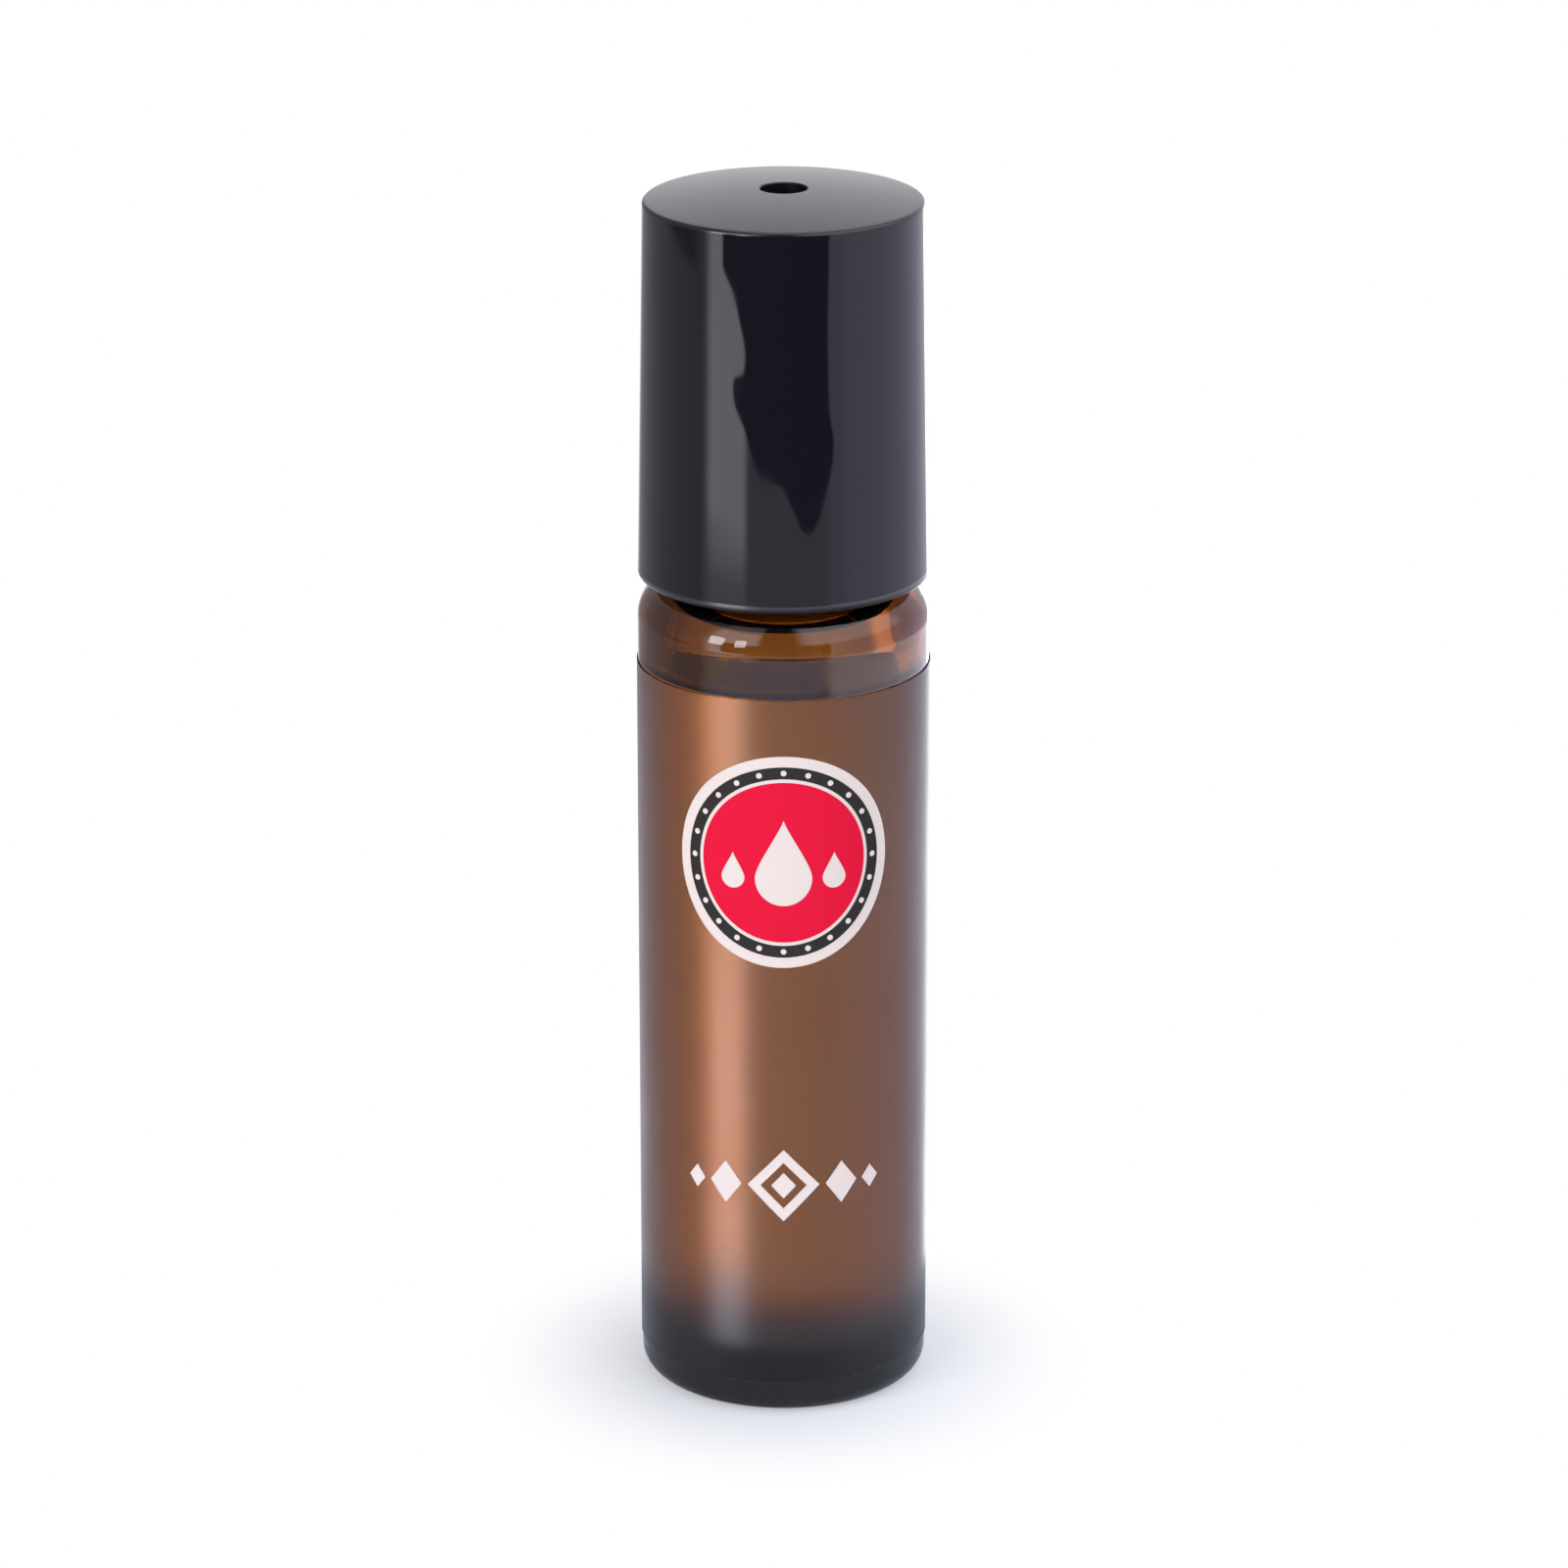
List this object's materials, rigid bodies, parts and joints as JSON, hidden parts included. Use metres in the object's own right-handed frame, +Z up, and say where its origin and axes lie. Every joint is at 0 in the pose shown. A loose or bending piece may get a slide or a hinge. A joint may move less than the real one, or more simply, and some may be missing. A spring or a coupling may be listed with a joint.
{
  "type": "roll-on bottle",
  "caption": "Slim amber glass roll-on bottle with a thick base, satin wrap label, steel roller ball in a plastic housing, and a glossy black screw cap.",
  "frame": {"origin": "centre of the circle that the bottle stands on", "axes": "+Z up the bottle's axis to the cap's top; -Y is the front of the label, and the film's lap is at the back, +Y"},
  "size_m": [0.0202, 0.0203, 0.0854],
  "materials": {
    "amber_glass": "clear amber, glossy",
    "label_film": "clear film with a satin face",
    "oil": "clear pale yellow liquid",
    "housing_plastic": "natural polyethylene, slightly waxy",
    "ball_steel": "polished stainless steel",
    "insert_plastic": "white polyethylene, satin",
    "cap_plastic": "black, glossy skirt and finely satin top"
  },
  "bodies": {
    "bottle": {"glass_bottle": "amber_glass", "wrap_label": "label_film", "oil_fill": "oil", "roller_housing": "housing_plastic"},
    "ball": {"roller_ball": "ball_steel"},
    "seal": {"seal_insert": "insert_plastic"},
    "cap": {"cap_shell": "cap_plastic"}
  },
  "joints": [
    {"name": "ball_roll", "type": "hinge", "parent": "bottle", "child": "ball", "pos_m": [0, 0, 0.0726], "axis": [1, 0, 0], "continuous": true},
    {"name": "cap_rise", "type": "slide", "parent": "bottle", "child": "seal", "axis": [0, 0, 1], "range_m": [0, 0.024]},
    {"name": "cap_turn", "type": "hinge", "parent": "seal", "child": "cap", "pos_m": [0, 0, 0.0628], "axis": [0, 0, 1], "range_deg": [0, 2880]}
  ],
  "couplings": [
    {"joint": "cap_rise", "follows": "cap_turn", "m_per_rad": 0.00047746}
  ]
}
